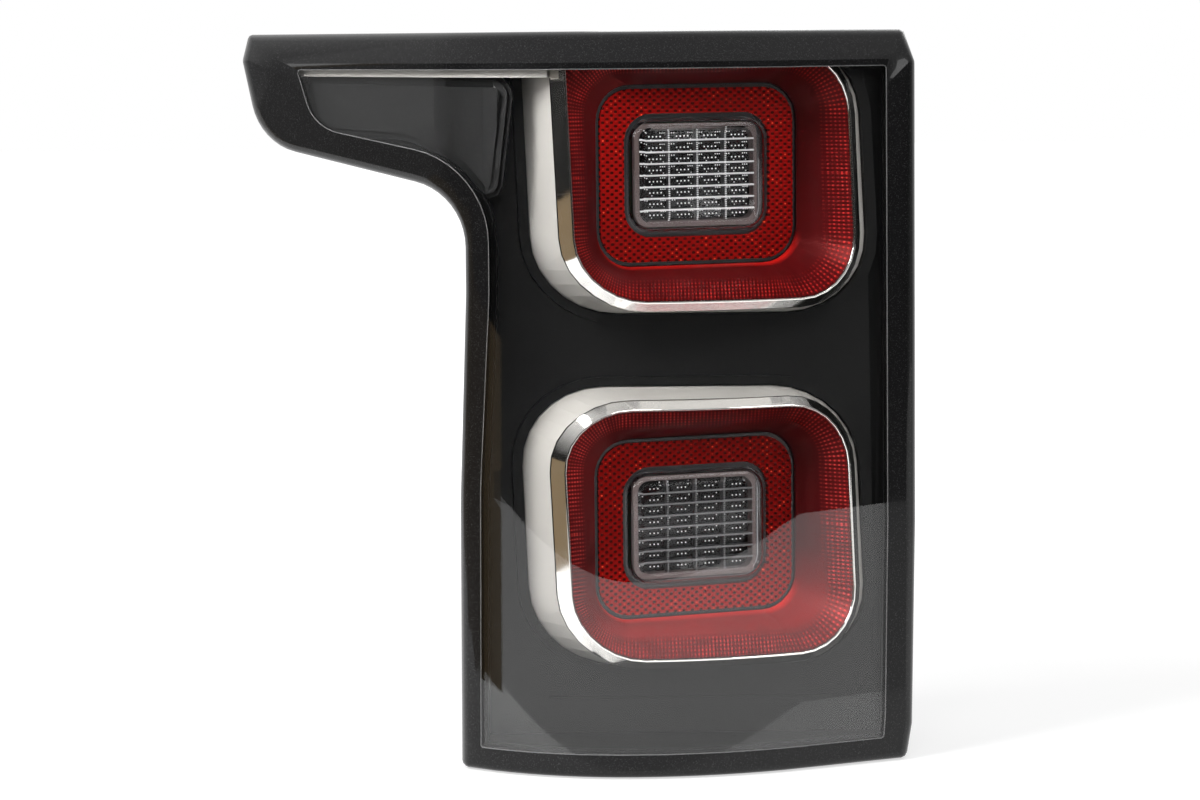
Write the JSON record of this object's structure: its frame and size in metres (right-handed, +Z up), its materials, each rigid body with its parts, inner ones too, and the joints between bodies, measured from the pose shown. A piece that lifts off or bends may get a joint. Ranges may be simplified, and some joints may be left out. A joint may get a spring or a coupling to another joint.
{
  "type": "tail light cluster",
  "caption": "Tall rear corner lamp for a large off-road car, with square red light units in a dark bezel behind a clear window, and a wing that wraps round the side.",
  "frame": {"origin": "middle of the two fixing studs, on the plane where the housing's stud bosses meet the car", "axes": "+X towards the inner side of the car, right in the picture; +Y into the car, along the studs; +Z up"},
  "size_m": [0.4116, 0.2673, 0.43],
  "materials": {
    "clear_lens": "clear polished",
    "black_border": "gloss with fine sparkle",
    "seal_black": "matt",
    "housing_black": "moulded matt",
    "bezel_grey": "satin",
    "panel_grey": "satin",
    "satin_silver": "satin silver coating",
    "chrome": "polished",
    "red_bowl": "satin",
    "carrier_black": "moulded",
    "red_reflex": "polished",
    "clear_cap": "clear polished",
    "cell_silver": "bright coating",
    "cell_dull": "satin",
    "optic_black": "polished",
    "board_green": "lacquered",
    "led_yellow": "polished",
    "cast_alloy": "as cast",
    "zinc": "zinc plated",
    "module_black": "moulded",
    "socket_black": "moulded",
    "terminal_metal": "plated",
    "foam_black": "closed-cell foam",
    "pin_white": "moulded"
  },
  "bodies": {
    "root": {"lens_window": "clear_lens", "lens_border": "black_border", "lens_seal": "seal_black", "housing": "housing_black", "inner_bezel": "bezel_grey", "wing_panel": "panel_grey", "upper_surround": "satin_silver", "lower_surround": "satin_silver", "upper_chrome_rim": "chrome", "lower_chrome_rim": "chrome", "upper_bowl": "red_bowl", "lower_bowl": "red_bowl", "upper_carrier": "carrier_black", "lower_carrier": "carrier_black", "upper_reflex_ring": "red_reflex", "lower_reflex_ring": "red_reflex", "upper_cap": "clear_cap", "lower_cap": "clear_cap", "upper_cell_grid": "cell_silver", "lower_cell_grid": "cell_dull", "upper_optic": "optic_black", "lower_optic": "optic_black", "upper_board": "board_green", "lower_board": "board_green", "upper_leds": "led_yellow", "lower_leds": "led_yellow", "upper_heat_sink": "cast_alloy", "lower_heat_sink": "cast_alloy", "unit_screws": "zinc", "driver_module": "module_black", "driver_cover": "cast_alloy", "driver_seal": "seal_black", "driver_screws": "zinc", "connector_socket": "socket_black", "socket_terminals": "terminal_metal", "vent_caps": "seal_black", "fixing_studs": "zinc", "stud_gaskets": "foam_black", "locating_pin": "pin_white", "wing_pin": "pin_white", "bumpers": "seal_black"}
  },
  "joints": []
}
